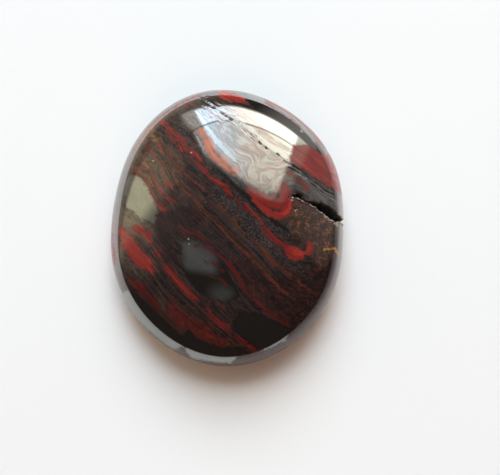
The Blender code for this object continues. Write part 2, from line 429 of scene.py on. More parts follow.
PATCHES: dict[Mineral | Ground, tuple[Patch, ...]] = {
    JASPER: (
        Patch(((-11.3, -0.5), (-10.2, -1.8), (-9.3, -2.9), (-8.5, -3.9), (-7.9, -4.5), (-7.4, -5.7),
            (-7.7, -5.9), (-8.6, -5.3), (-9.5, -4.8), (-10.3, -3.8), (-11.0, -2.8), (-11.4, -1.5)), 0.85),
        Patch(((-1.2, 14.5), (-0.6, 13.7), (0.0, 13.1), (1.0, 12.8), (2.4, 12.5), (1.8, 13.4),
            (0.9, 14.2), (-0.3, 14.8)), 0.75),
        Patch(((6.6, 5.7), (8.0, 4.6), (9.5, 3.7), (11.2, 2.9), (13.2, 2.4), (12.8, 5.6), (11.8, 7.4),
            (10.0, 6.9), (8.5, 7.8), (7.0, 7.5)), 0.6),
    ),
    Ground.SALMON: (
        Patch(((-3.0, 9.6), (-2.5, 9.4), (-1.8, 8.1), (-1.1, 6.7), (-0.2, 5.6), (0.8, 4.5), (0.2, 4.0),
            (-0.9, 4.8), (-1.9, 6.0), (-2.6, 7.4))),
    ),
    HEMATITE: (
        Patch(((-4.6, -2.8), (-3.0, -2.7), (-1.6, -3.9), (-0.3, -5.4), (0.4, -7.0), (1.0, -8.3),
            (-0.2, -8.9), (-1.8, -8.6), (-3.2, -7.6), (-4.2, -6.2), (-4.7, -4.6))),
        Patch(((1.0, -9.9), (2.8, -10.0), (4.6, -11.0), (6.2, -11.5), (5.6, -12.8), (3.4, -13.8),
            (1.6, -12.5), (0.2, -11.3))),
        Patch(((-10.4, 5.0), (-9.7, 4.7), (-8.9, 4.2), (-8.2, 3.4), (-7.7, 2.2), (-7.2, 1.2), (-7.1, 0.3),
            (-7.6, -0.9), (-8.6, -0.4), (-9.6, 0.5), (-10.7, 1.3), (-11.0, 3.2))),
        Patch(((-10.0, -7.3), (-8.5, -8.7), (-7.2, -9.9), (-6.0, -11.2), (-5.0, -12.2), (-4.0, -13.0),
            (-6.0, -13.5), (-9.5, -10.5), (-11.4, -7.6))),
        Patch(((-5.0, -12.3), (-4.0, -11.5), (-3.4, -12.4), (-1.0, -13.3), (1.5, -13.4), (0.0, -15.0),
            (-4.0, -14.5))),
        Patch(((2.2, 14.4), (3.0, 12.4), (3.2, 10.4), (5.0, 8.0), (6.8, 6.9), (9.6, 7.4), (9.6, 9.0),
            (8.0, 11.0), (5.0, 13.4), (2.6, 14.4))),
    ),
    Ground.OXBLOOD: (
        Patch(((-5.8, -8.2), (-4.5, -9.4), (-3.0, -10.5), (-1.0, -12.2), (0.6, -13.4), (-1.4, -13.4),
            (-3.8, -12.2), (-5.4, -11.2), (-6.2, -10.0))),
        Patch(((-9.8, -5.8), (-8.7, -6.2), (-7.8, -8.2), (-7.0, -9.6), (-7.7, -9.2), (-9.2, -7.6))),
    ),
    Ground.GREY: (
        Patch(((6.2, 2.3), (7.2, 2.4), (8.4, 1.5), (9.6, 1.2), (11.2, 0.8), (12.4, 0.6), (11.8, 1.7),
            (9.8, 2.9), (8.2, 4.0), (7.2, 4.6), (6.4, 3.8))),
    ),
    Ground.KHAKI: (
        Patch(((-7.9, -2.6), (-7.3, -3.6), (-7.0, -5.5), (-6.5, -7.5), (-6.3, -9.4), (-6.7, -9.8),
            (-7.0, -8.0), (-7.5, -5.8), (-8.0, -4.2))),
        Patch(((-10.2, 5.4), (-9.6, 8.0), (-8.6, 9.8), (-7.4, 9.6), (-6.2, 8.2), (-5.0, 6.6), (-4.6, 5.0),
            (-4.8, 3.6), (-5.6, 2.6), (-6.6, 3.0), (-7.4, 2.6), (-7.8, 3.6), (-8.6, 4.8))),
    ),
    Ground.RUSTY: (
        Patch(((-11.4, 1.6), (-9.0, 0.2), (-7.6, -0.8), (-7.2, -2.4), (-8.0, -3.4), (-9.4, -2.2),
            (-10.6, -0.9), (-11.6, -0.4))),
        Patch(((-11.4, -2.4), (-10.4, -4.0), (-9.4, -5.0), (-8.2, -5.8), (-8.6, -6.6), (-10.0, -6.2),
            (-11.4, -4.8))),
    ),
    Ground.CONTORTED: (
        Patch(((-3.6, 8.8), (-2.6, 7.4), (-1.2, 6.7), (0.2, 4.9), (1.6, 3.4), (2.6, 2.6), (4.0, 1.9),
            (5.0, 2.2), (5.6, 3.4), (6.4, 4.6), (6.9, 5.8), (6.9, 7.2), (5.4, 8.6), (4.6, 10.0),
            (4.4, 11.6), (2.0, 12.5), (-0.4, 12.6), (-2.2, 12.9), (-5.4, 12.3), (-5.3, 10.9))),
    ),
    Ground.SILVERY: (
        Patch(((-0.4, 13.0), (0.9, 11.0), (1.8, 10.2), (3.0, 8.9), (4.0, 7.9), (4.9, 7.2), (5.8, 6.6),
            (7.0, 6.0), (7.4, 7.4), (5.4, 9.4), (4.4, 11.6), (3.2, 14.0), (0.6, 14.4))),
    ),
    Ground.GRANULAR: (
        Patch(((0.4, 2.6), (1.6, 2.3), (2.6, 1.0), (3.6, 0.1), (4.6, -0.6), (5.6, -0.9), (6.6, -2.0),
            (6.0, -2.6), (4.8, -2.4), (4.2, -4.5), (2.6, -3.4), (1.2, -2.0), (-0.2, -0.4), (-1.6, 1.2),
            (-2.4, 2.4), (-1.2, 2.8))),
        Patch(((-5.6, 11.6), (-4.2, 9.6), (-2.9, 7.0), (-1.4, 4.9), (0.4, 3.0), (-0.4, 2.6), (-1.8, 3.9),
            (-3.2, 5.6), (-4.4, 7.6), (-5.9, 10.2))),
        Patch(((2.6, -2.2), (4.2, -2.8), (5.6, -4.6), (7.4, -5.4), (8.6, -7.0), (6.8, -6.2), (4.8, -4.8),
            (3.2, -3.4))),
    ),
    Ground.MOTTLED: (
        Patch(((6.4, 1.4), (8.0, 0.9), (9.6, -0.1), (11.2, -1.2), (11.0, -3.2), (10.4, -4.8), (9.6, -6.0),
            (8.8, -5.0), (8.6, -3.6), (8.0, -2.6), (7.0, -2.6), (6.0, -1.6), (5.8, -0.6))),
    ),
    Ground.PURPLE: (
        Patch(((-7.4, 0.6), (-5.4, 0.8), (-3.6, 0.9), (-2.2, -0.6), (-3.2, -2.0), (-5.0, -1.2),
            (-5.0, -5.0), (-6.0, -5.2), (-7.0, -3.4), (-7.8, -1.6))),
    ),
    Ground.MAROON: (
        Patch(((0.0, -4.6), (1.6, -4.6), (4.0, -6.6), (6.6, -6.0), (9.4, -5.6), (10.4, -5.0),
            (12.0, -2.6), (11.6, -6.0), (8.4, -9.6), (6.0, -11.4), (3.6, -9.6), (1.8, -7.6),
            (0.6, -5.8))),
    ),
}


@dataclass(frozen=True)
class StoneForm:
    """The cabochon's form: a dome over a natural outline, an undercut rim and a flat back.

    A swell is a number of crests round the outline, its height in mm and a crest's bearing.
    """

    mean_radius: float = 14.0
    dome_height: float = 5.0
    girdle_height: float = 2.0
    undercut: float = 2.4
    apex: Point = (2.1, -4.0)
    swells: tuple[tuple[int, float, float], ...] = (
        (2, 1.28, 89),
        (3, 0.06, -7),
        (4, 0.12, 25),
        (5, 0.06, 39),
        (6, 0.06, 29),
    )
    halvings: int = 34
    least_share: float = 1e-4

    def radius(self, bearing: Array) -> Array:
        """Adds the swells to the mean radius.

        Args:
            bearing: bearings in radians.

        Returns:
            The distance from the middle to the outline in mm.
        """
        return self.mean_radius + sum(
            height * np.cos(crests * (bearing - radians(crest)))
            for crests, height, crest in self.swells
        )

    def share(self, x: Array, y: Array) -> Array:
        """How far out places lie, from 0 at the apex to 1 on the outline.

        The share is found by halving: blown up from the apex by its inverse, a place meets the
        outline.

        Args:
            x: places across, in mm.
            y: places up, in mm.

        Returns:
            The share of each place.
        """
        low, high = np.full(x.shape, self.least_share), np.ones(x.shape)
        for _ in range(self.halvings):
            middle = 0.5 * (low + high)
            far_x = self.apex[0] + (x - self.apex[0]) / middle
            far_y = self.apex[1] + (y - self.apex[1]) / middle
            beyond = np.hypot(far_x, far_y) > self.radius(np.arctan2(far_y, far_x))
            low, high = np.where(beyond, middle, low), np.where(beyond, high, middle)
        return high

    def dome(self, x: Array, y: Array) -> Array:
        """Height of the polished top: half an ellipse from the apex down to the girdle."""
        fall = np.sqrt(np.clip(1.0 - self.share(x, y) ** 2, 0.0, 1.0))
        return self.girdle_height + self.dome_height * fall


@dataclass(frozen=True)
class SkinGrid:
    """The grid of spokes and rings that the stone's skin is worked out on.

    Spokes run straight from a pole, on the line of the fissure, to the outline, and stand
    closer together towards the fissure's mouth. Rings are evenly spaced over the dome, evenly
    turned round the shoulder and the underside, and evenly spaced again over the flat back.
    """

    spokes: int = 568
    dome_rings: int = 115
    shoulder_rings: int = 22
    underside_rings: int = 13
    back_rings: int = 22
    pole: Point = (1.0, 3.5)
    shoulder_start: float = 0.9
    crowd_bearing: float = -8.0
    crowd_spread: float = 22.0
    crowding: float = 1.3
    samples: int = 7201

    def bearings(self) -> Array:
        """Bearings of the spokes' outer ends, crowded towards the fissure.

        The spokes' density is 1 plus a bell about the crowd bearing. Its running sum, turned
        round, gives evenly counted bearings.

        Returns:
            The bearings in radians.
        """
        off = np.linspace(-180.0, 180.0, self.samples)
        density = 1.0 + self.crowding * np.exp(-((off / self.crowd_spread) ** 2))
        total = np.concatenate([[0.0], np.cumsum(0.5 * (density[1:] + density[:-1]))])
        counts = np.arange(self.spokes) / self.spokes * total[-1]
        return np.radians(np.interp(counts, total, off + self.crowd_bearing))

    def dome_shares(self) -> Array:
        """Works out the rings on the top.

        Returns:
            The share of the way from the pole to the outline of each ring.
        """
        flat = self.shoulder_start * np.arange(1, self.dome_rings + 1) / self.dome_rings
        turned = np.linspace(np.arcsin(self.shoulder_start), 0.5 * pi, self.shoulder_rings + 1)[1:]
        return np.concatenate([flat, np.sin(turned)])


@dataclass(frozen=True)
class Fissure:
    """The open fissure at the right: x, y and half-width along its middle line.

    Across it, in half-widths from -1 at the lower edge to 1 at the upper, the wall rises steeply
    on the lower side and slopes gently on the upper side. A place before the first station
    counts as far beyond the edge. Where the fissure is narrow it is shallow too. The lip widens
    and fills up towards the mouth, by ranges of x.
    """

    stations: tuple[Place, ...] = (
        (6.50, 1.72, 0.04),
        (6.80, 1.76, 0.20),
        (7.15, 1.73, 0.28),
        (7.45, 1.59, 0.25),
        (7.75, 1.36, 0.08),
        (8.10, 1.18, 0.08),
        (8.50, 1.08, 0.11),
        (9.00, 0.98, 0.27),
        (9.50, 0.80, 0.40),
        (10.00, 0.57, 0.49),
        (10.50, 0.28, 0.60),
        (11.00, 0.01, 0.63),
        (11.50, -0.16, 0.56),
        (12.00, -0.16, 0.40),
        (12.60, -0.28, 0.30),
        (13.60, -0.40, 0.30),
    )
    depth: float = 1.0
    edge_wander: tuple[Noise, ...] = (Noise(0.12, 0.3, 3), Noise(0.05, 0.11, 4))
    beyond_end: float = 9.0
    steep_wall: Range = (-1.0, -0.55)
    gentle_wall: Range = (-0.45, 1.0, 1.0, 0.0)
    crumbling: Noise = Noise(0.16, 0.11, 5)
    deep_width: float = 0.3
    least_depth: float = 0.35
    lip_width: float = 0.28
    lip_widening: Range = (9.5, 12.4, 0.6, 1.5)
    lip_wander: Noise = Noise(0.9, 0.26, 6)
    lip_crumbs: Noise = Noise(1.0, 0.17, 7)
    lip_filling: Range = (10.4, 12.4)
    crumb_edge: Range = (-0.35, 0.25)
    lip_start: Range = (-0.1, -0.02)
    lip_end: Range = (0.5, 1.0, 1.0, 0.0)

    def across(self, x: Array, y: Array) -> tuple[Array, Array]:
        """Measures how far across the fissure places lie.

        Args:
            x: places across, in mm.
            y: places up, in mm.

        Returns:
            The distance over the middle line, in half-widths, and the half-width in mm.
        """
        ragged = sum(noise.at(x, y) for noise in self.edge_wander)
        reach = beside(smooth_route(np.array(self.stations)), x, y)
        width = reach.carried[..., 0]
        past = reach.along <= 0.0
        return (reach.side * reach.distance + ragged) / width + self.beyond_end * past, width

    def sink(self, x: Array, y: Array) -> Array:
        """Hollows the fissure out: a valley that is deepest below its middle line.

        Args:
            x: places across, in mm.
            y: places up, in mm.

        Returns:
            The depth of each place in mm.
        """
        across, width = self.across(x, y)
        walls = rise(across, *self.steep_wall) * rise(across, *self.gentle_wall)
        crumbs = 1.0 + self.crumbling.at(x, y)
        return self.depth * np.clip(width / self.deep_width, self.least_depth, 1.0) * walls * crumbs

    def lip(self, x: Array, y: Array) -> Array:
        """Spreads the pale crumbled lip along the lower edge.

        Args:
            x: places across, in mm.
            y: places up, in mm.

        Returns:
            The share of crumbs at each place.
        """
        across, width = self.across(x, y)
        gap = -(across + 1.0) * width
        ragged = self.lip_width * rise(x, *self.lip_widening) * (1.0 + self.lip_wander.at(x, y))
        crumbs = rise(self.lip_crumbs.at(x, y) + rise(x, *self.lip_filling), *self.crumb_edge)
        return rise(gap, *self.lip_start) * rise(gap / ragged, *self.lip_end) * crumbs


@dataclass(frozen=True)
class Seam:
    """A hairline crack, open here and there: a route over the top, in mm."""

    points: tuple[Point, ...]
    half_width: float = 0.08
    depth: float = 0.03
    patchy: float = 0.5
    wander: Noise = Noise(0.05, 0.5, 21)
    wall: Range = (0.25, 1.0, 1.0, 0.0)
    opening: Noise = Noise(1.0, 0.7, 22)
    mostly_open: float = 0.3

    def sink(self, x: Array, y: Array) -> Array:
        """Hollows the crack out: a rounded groove, shallower where smooth noise is low.

        Args:
            x: places across, in mm.
            y: places up, in mm.

        Returns:
            The depth of each place in mm.
        """
        reach = beside(smooth_route(np.array(self.points)), x, y)
        groove = rise((reach.distance + self.wander.at(x, y)) / self.half_width, *self.wall)
        opening = self.opening.at(x, y) + self.mostly_open
        return self.depth * groove * rise(opening, -self.patchy, self.patchy, 1.0 - self.patchy, 1.0)


@dataclass(frozen=True)
class Pit:
    """A small hollow: an oval with its long axis turned from +X, in mm and degrees."""

    x: float
    y: float
    length: float
    width: float
    turn: float = -45.0
    depth: float = 0.09
    wander: Noise = Noise(0.25, 0.12, 23)
    wall: Range = (0.5, 1.1, 1.0, 0.0)

    def sink(self, x: Array, y: Array) -> Array:
        """Hollows the pit out: a bowl with a steep ragged side.

        Args:
            x: places across, in mm.
            y: places up, in mm.

        Returns:
            The depth of each place in mm.
        """
        turn = radians(self.turn)
        along = ((x - self.x) * np.cos(turn) + (y - self.y) * np.sin(turn)) / self.length
        across = ((y - self.y) * np.cos(turn) - (x - self.x) * np.sin(turn)) / self.width
        return self.depth * rise(np.hypot(along, across) + self.wander.at(x, y), *self.wall)


@dataclass(frozen=True)
class Chip:
    """A bite out of the rim: an ellipsoid about a place, in mm."""

    centre: Place = (12.95, -0.95, 2.6)
    radii: Place = (0.9, 0.6, 1.0)
    depth: float = 0.32
    wall: Range = (0.3, 1.0, 1.0, 0.0)

    def sink(self, skin: Array) -> Array:
        """Depth in mm: greatest at the middle of the bite."""
        off = (skin - np.array(self.centre)) / np.array(self.radii)
        return self.depth * rise(np.linalg.norm(off, axis=-1), *self.wall)


SEAMS = (
    Seam(((-2.4, 13.0), (-0.9, 11.7), (0.5, 10.5), (1.3, 10.0), (2.5, 8.6), (3.5, 7.5), (4.4, 6.8),
          (5.3, 6.2), (6.3, 5.3), (7.0, 5.0)), 0.06, 0.035),
    Seam(((6.8, 5.1), (7.5, 4.6), (8.1, 4.1), (8.5, 3.65), (9.4, 3.15), (10.2, 2.6), (11.2, 2.2)),
         0.1, 0.07, 0.25),
    Seam(((6.4, 4.85), (7.2, 4.35), (7.9, 3.9), (8.4, 3.4), (8.9, 3.0), (9.6, 2.5), (10.5, 2.05),
          (11.2, 1.85)), 0.1, 0.05, 0.4),
    Seam(((-3.0, 13.8), (-1.6, 12.3), (-0.2, 11.0), (0.9, 10.0), (2.1, 8.7), (3.0, 7.6)),
         0.06, 0.035, 0.9),
    Seam(((-2.2, 13.8), (-0.6, 12.1), (0.9, 10.7), (2.2, 9.3), (3.5, 8.0)), 0.06, 0.035, 0.9),
    Seam(((-3.4, 13.0), (-2.0, 11.7), (-0.6, 10.4), (0.6, 9.3)), 0.06, 0.03, 0.9),
)

PITS = (
    Pit(6.82, 0.40, 0.15, 0.13, 0.0, 0.16),
    Pit(5.30, 6.30, 0.26, 0.10, -38.0, 0.05),
    Pit(4.10, 6.95, 0.20, 0.08, -38.0, 0.05),
    Pit(3.40, 7.60, 0.30, 0.09, -48.0, 0.05),
    Pit(2.50, 8.60, 0.18, 0.07, -50.0, 0.05),
    Pit(1.30, 10.10, 0.16, 0.07, -45.0, 0.05),
    Pit(0.40, 10.50, 0.24, 0.08, -42.0, 0.05),
    Pit(11.70, -0.78, 0.14, 0.12, 0.0),
    Pit(8.10, 1.15, 0.12, 0.10, 0.0, 0.2),
)

# Tiny bright flecks where the polish has broken out: x, y and radius in mm
FLECKS: tuple[Place, ...] = (
    (8.10, 9.50, 0.20), (-3.95, -2.60, 0.07), (-3.90, -3.10, 0.07), (-3.75, 6.60, 0.09),
    (1.60, -0.40, 0.07), (6.80, 0.15, 0.10), (-7.80, 6.00, 0.09), (-2.20, 1.10, 0.06),
)


@dataclass(frozen=True)
class Bedding:
    """How the minerals lie in the stone, as fields over the plan in mm.

    Below the girdle the beds lean over, by the lean in mm for each mm of depth. The beds curl
    about one place, where the contorted ground is, by noise that dies away over a reach.
    """

    slope: Point = (0.77, 0.64)
    lean: Point = (0.5, 0.35)
    ground_edge: Range = (-0.5, 0.5)
    ground_wander: tuple[Noise, ...] = (Noise(0.35, 0.9, 11), Noise(0.2, 0.3, 12))
    bend_stiffness: float = 1.0
    curls: tuple[Noise, ...] = (Noise(0.5, 1.9, 31), Noise(0.2, 0.9, 32))
    curl_middle: Point = (3.0, 4.6)
    curl_reach: float = 2.6
    curl_edge: Range = (-0.3, 1.2)
    far_outside: float = -5.0

    def cut_plan(self, points: Array, girdle_height: float) -> tuple[Array, Array]:
        """Plan places where the beds that cross the given points meet the polished top."""
        depth = np.clip(girdle_height - points[:, 2], 0.0, None)
        return points[:, 0] + self.lean[0] * depth, points[:, 1] + self.lean[1] * depth

    def level(self, x: Array, y: Array) -> Array:
        """Height in the stack of beds, in mm: a thin plate bent through the guiding beds.

        The plate starts as a plane that rises to the upper right. Each guide point bends it by
        a weight times r squared log r, and the weights solve the plate's linear equations, with
        the stiffness on their diagonal.

        Args:
            x: places across, in mm.
            y: places up, in mm.

        Returns:
            The level of each place.
        """
        beds = [bed for rows in BEDS.values() for bed in rows if bed.level is not None]
        guides = [(bed.level, bed.points) for bed in beds] + list(GUIDES)
        knots = np.array([(px, py, level) for level, points in guides for px, py in points])

        def bend(gap_squared: Array) -> Array:
            """A plate's bend under a point load: half r squared times the log of r squared."""
            return 0.5 * gap_squared * np.log(gap_squared + 1e-9)

        gaps = ((knots[:, None, :2] - knots[None, :, :2]) ** 2).sum(axis=-1)
        plane = np.column_stack([np.ones(len(knots)), knots[:, :2]])
        system = np.block([
            [bend(gaps) + self.bend_stiffness * np.eye(len(knots)), plane],
            [plane.T, np.zeros((3, 3))],
        ])
        weights = np.linalg.solve(system, np.concatenate([knots[:, 2], np.zeros(3)]))
        level = weights[-3] + weights[-2] * x + weights[-1] * y
        for (knot_x, knot_y, _), weight in zip(knots, weights):
            level = level + weight * bend((x - knot_x) ** 2 + (y - knot_y) ** 2)
        return level

    def margin(self, mineral: Mineral | Ground, x: Array, y: Array) -> tuple[Array, Array]:
        """Joins all beds and patches of one mineral by taking the greatest margin.

        Args:
            mineral: which mineral.
            x: places across, in mm.
            y: places up, in mm.

        Returns:
            The margin in mm, positive inside, and the tone of the bed that gives it.
        """
        best = np.full(x.shape, self.far_outside)
        tone = np.zeros(x.shape)
        for piece in BEDS.get(mineral, ()) + PATCHES.get(mineral, ()):
            margin = piece.margin(x, y)
            tone = np.where(margin > best, piece.tone, tone)
            best = np.maximum(best, margin)
        return best, tone

    def fields(self, points: Array, girdle_height: float) -> dict[str, Array]:
        """Works out every field of the minerals that the material reads.

        Args:
            points: rows of xyz in mm.
            girdle_height: height of the stone's widest level in mm.

        Returns:
            Arrays by attribute name. A row of three is a vector.
        """
        x, y = self.cut_plan(points, girdle_height)
        along = self.slope[1] * x - self.slope[0] * y
        far = np.hypot(x - self.curl_middle[0], y - self.curl_middle[1]) / self.curl_reach
        contorted = rise(self.margin(Ground.CONTORTED, x, y)[0], *self.curl_edge)
        curls = sum(noise.at(x, y) for noise in self.curls) * contorted * np.exp(-far * far)
        found = {"bedding": np.stack([self.level(x, y) + curls, along, points[:, 2]], axis=-1)}
        for mineral in Mineral:
            found[mineral.label], found[mineral.label + "_tone"] = self.margin(mineral, x, y)
        ragged = sum(noise.at(x, y) for noise in self.ground_wander)
        for ground in Ground:
            margin, _ = self.margin(ground, x, y)
            found[ground.label] = rise(margin + ragged, *self.ground_edge)
        return found


# Short names of nodes: the node's type without its ShaderNode prefix, and its settings
PRESETS: dict[str, tuple[str, dict[str, Any]]] = {
    "Rise": ("MapRange", {"interpolation_type": "SMOOTHSTEP"}),
    "Blend": ("Mix", {"data_type": "RGBA"}),
    "Tint": ("Mix", {"data_type": "RGBA", "blend_type": "MULTIPLY"}),
    "Level": ("Mix", {"data_type": "FLOAT"}),
    "Plus": ("Math", {"operation": "ADD"}),
    "Minus": ("Math", {"operation": "SUBTRACT"}),
    "Times": ("Math", {"operation": "MULTIPLY"}),
    "TimesPlus": ("Math", {"operation": "MULTIPLY_ADD"}),
    "Ratio": ("Math", {"operation": "DIVIDE", "use_clamp": True}),
    "Size": ("Math", {"operation": "ABSOLUTE"}),
    "Greater": ("Math", {"operation": "MAXIMUM"}),
    "Towards": ("VectorMath", {"operation": "DOT_PRODUCT"}),
}


class Graph:
    """The node tree of a material, light or world, under construction."""

    def __init__(self, owner: bpy.types.ID) -> None:
        """Turns the owner's nodes on and empties its tree.

        Args:
            owner: the material, light or world.
        """
        owner.use_nodes = True
        self.tree = owner.node_tree
        self.tree.nodes.clear()

    def add(self, kind: str, *values: Any, **named: Any) -> Socket:
        """Adds a node with its settings and links.

        Args:
            kind: a short name, or the node's type without its ShaderNode prefix.
            values: numbers, colours or sockets for the enabled inputs in order, None to skip.
            named: settings in lower case, and inputs by name with a capital and underscores.

        Returns:
            The node's first enabled output, or None for an output node.
        """
        kind, preset = PRESETS.get(kind, (kind, {}))
        made = self.tree.nodes.new("ShaderNode" + kind)
        for name, value in (preset | named).items():
            if name[0].islower():
                setattr(made, name, value)
        enabled = [socket for socket in made.inputs if socket.enabled]
        fed = [pair for pair in zip(enabled, values) if pair[1] is not None]
        fed += [(made.inputs[n.replace("_", " ")], v) for n, v in named.items() if n[0].isupper()]
        for socket, value in fed:
            if isinstance(value, Socket):
                self.tree.links.new(value, socket)
            else:
                socket.default_value = value
        return next((socket for socket in made.outputs if socket.enabled), None)


@dataclass(frozen=True)
class Patterns:
    """The noises, each about 0.5, that the stone's colours share."""

    thick: Socket
    layers: Socket
    other: Socket
    thin: Socket
    lined: Socket
    hair: Socket
    speck: Socket
    blotch: Socket
    salt: Socket


@dataclass(frozen=True)
class PolishedStone:
    """Banded jasper and hematite, ground and polished on a lap.

    To the eye it is a dark dense stone with a wet gloss. Its thin layers of iron ore turn to
    silver where a light stands in them, the red and rust beds between them stay dull, and pale
    crumbs show where the polish has broken out.

    Sizes of the patterns are in mm: across the beds and along them, or one grain. The grain and
    the salt are drawn coarser than the rock's own, of a few hundredths, so that they show.
    """

    jasper_bright: str = "#882A26"
    jasper_dark: str = "#3A1716"
    jasper_orange: str = "#A83C2E"
    ochre_bright: str = "#A8763A"
    ochre_dark: str = "#552A1D"
    hematite: str = "#8A8B88"
    hematite_stain: str = "#0F0C0D"
    quartz: str = "#747070"
    painted_crevice_shade: str = "#101012"
    crumb: str = "#988C78"
    thick_layers: Point = (0.8, 10.0)
    layers: Point = (0.3, 7.0)
    thin_layers: Point = (0.12, 3.4)
    long_layers: Point = (0.18, 16.0)
    hairlines: Point = (0.042, 12.0)
    grain: float = 0.13
    blotch: float = 0.6
    salt: float = 0.14
    lamina_edge: Range = (0.80, 1.20)
    dot_edge: Range = (0.84, 1.22)
    rare_layer: Range = (0.58, 0.70)
    rare_blotch: Range = (0.54, 0.66)
    drawn_line: Range = (0.52, 0.68)
    drawn_grain: Range = (0.40, 0.60, 0.2, 0.9)
    salt_grain: Range = (0.60, 0.72)
    least_salt: float = 0.12
    salt_share: float = 0.27
    hairline: Range = (0.54, 0.62)
    hairline_share: float = 0.7
    hairline_shine: Range = (0.0, 1.0, 1.0, 0.68)
    thin_shine: Range = (0.35, 0.65, 0.8, 1.2)
    thick_shine: Range = (0.34, 0.60, 0.82, 1.12)
    ore_thin_shine: Range = (0.35, 0.65, 0.94, 1.0)
    ore_thick_shine: Range = (0.36, 0.56, 0.9, 1.0)
    edge_gains: tuple[float, ...] = (0.8, 0.8, 1.8, 1.2)
    vein: Range = (0.84, 1.06, 0.85, 0.0)
    cleanest_tone: float = 1.05
    glint_layer: Range = (0.50, 0.66)
    glint_grain: Range = (0.42, 0.60, 0.3, 1.0)
    halo: Range = (-0.8, 0.0)
    halo_line: Range = (0.44, 0.62)
    halo_share: float = 0.28
    # Painted glow of the rim: the gain on its colour, and the share of the rim that takes it
    painted_rim_glow_gain: tuple[float, ...] = (2.0, 1.8, 1.2, 1.0)
    painted_rim_glow_share: float = 0.7
    rock_shine: Range = (0.0, 1.0, 1.0, 0.45)
    ior: float = 1.54
    rim_ior: float = 3.0
    polish: float = 0.05
    broken_roughness: float = 0.8

    def streaks(self, graph: Graph, size: Point, detail: float = 2.0, shift: float = 0.0) -> Socket:
        """Makes noise that is drawn out along the beds.

        Args:
            graph: the material's node tree.
            size: its size across the beds and along them.
            detail: how many finer noises are added.
            shift: slides the pattern, so that two of one size differ.

        Returns:
            The noise, about 0.5.
        """
        across, along = size
        bedding = graph.add("Attribute", attribute_name="bedding").node.outputs["Vector"]
        scale = (1 / across, 1 / along, 0.5 / across)
        place = graph.add("Mapping", Vector=bedding, Location=(shift, shift, shift), Scale=scale)
        return graph.add("TexNoise", Vector=place, Scale=1.0, Detail=detail, Roughness=0.6)

    def grains(self, graph: Graph, size: float, detail: float = 0.0) -> Socket:
        """Makes even noise of one grain size.

        Args:
            graph: the material's node tree.
            size: the grain's size in mm.
            detail: how many finer noises are added.

        Returns:
            The noise, about 0.5.
        """
        place = graph.add("TexCoord").node.outputs["Object"]
        scale = 1 / (size * MM)
        return graph.add("TexNoise", Vector=place, Scale=scale, Detail=detail, Roughness=0.8)

    def patterns(self, graph: Graph) -> Patterns:
        """Makes all the noises, from the thickest layers to the finest grains.

        Args:
            graph: the material's node tree.

        Returns:
            The noises.
        """
        return Patterns(
            thick=self.streaks(graph, self.thick_layers),
            layers=self.streaks(graph, self.layers),
            other=self.streaks(graph, self.layers, 3.0, 7.0),
            thin=self.streaks(graph, self.thin_layers, 1.0),
            lined=self.streaks(graph, self.long_layers, 2.0, 3.0),
            hair=self.streaks(graph, self.hairlines, 1.0),
            speck=self.grains(graph, self.grain, 3.0),
            blotch=self.grains(graph, self.blotch, 3.0),
            salt=self.grains(graph, self.salt),
        )

    def field(self, graph: Graph, name: str) -> Socket:
        """One number of the stone's own, from its attribute."""
        return graph.add("Attribute", attribute_name=name).node.outputs["Fac"]

    def ground(self, graph: Graph, seen: Patterns) -> tuple[Socket, Socket]:
        """Colours the finely mixed ground that lies between the clean beds.

        Dark and light layers or dots take turns, and bright streaks, long drawn lines and grains
        of quartz lie among them. The polish rises with the iron, layer by layer.

        Args:
            graph: the material's node tree.
            seen: the noises.

        Returns:
            The colour and the share of metal.
        """
        add = graph.add
        first = Ground.LAMINATED
        dark, light, streak = (hex_colour(code) for code in (first.dark, first.light, first.streak))
        grain, iron = first.grain, first.iron
        for ground in list(Ground)[1:]:
            share = self.field(graph, ground.label)
            dark = add("Blend", share, dark, hex_colour(ground.dark))
            light = add("Blend", share, light, hex_colour(ground.light))
            streak = add("Blend", share, streak, hex_colour(ground.streak))
            grain = add("Level", share, grain, ground.grain)
            iron = add("Level", share, iron, ground.iron)
        lamina = add("Rise", add("Plus", seen.layers, seen.thin), *self.lamina_edge)
        dots = add("Rise", add("Plus", seen.speck, seen.blotch), *self.dot_edge)
        colour = add("Blend", add("Level", grain, lamina, dots), dark, light)
        layer = add("Rise", seen.other, *self.rare_layer)
        rare = add("Level", grain, layer, add("Rise", seen.blotch, *self.rare_blotch))
        colour = add("Blend", rare, colour, streak)
        drawn = add("Times", add("Rise", seen.lined, *self.drawn_line),
                    add("Rise", seen.speck, *self.drawn_grain))
        layered = add("Minus", 1.0, self.field(graph, Ground.MOTTLED.label))
        colour = add("Blend", add("Times", drawn, layered), colour, streak)
        granular = add("Greater", self.field(graph, Ground.GRANULAR.label), self.least_salt)
        salted = add("Times", add("Rise", seen.salt, *self.salt_grain), granular)
        salted = add("Times", salted, self.salt_share)
        colour = add("Blend", salted, colour, hex_colour(self.quartz))
        contorted = self.field(graph, Ground.CONTORTED.label)
        lines = add("Times", add("Rise", seen.hair, *self.hairline), contorted)
        colour = add("Blend", add("Times", lines, self.hairline_share), colour, streak)
        metal = add("Times", iron, add("Rise", seen.thin, *self.thin_shine))
        metal = add("Times", metal, add("Rise", lines, *self.hairline_shine))
        return colour, add("Times", metal, add("Rise", seen.thick, *self.thick_shine))

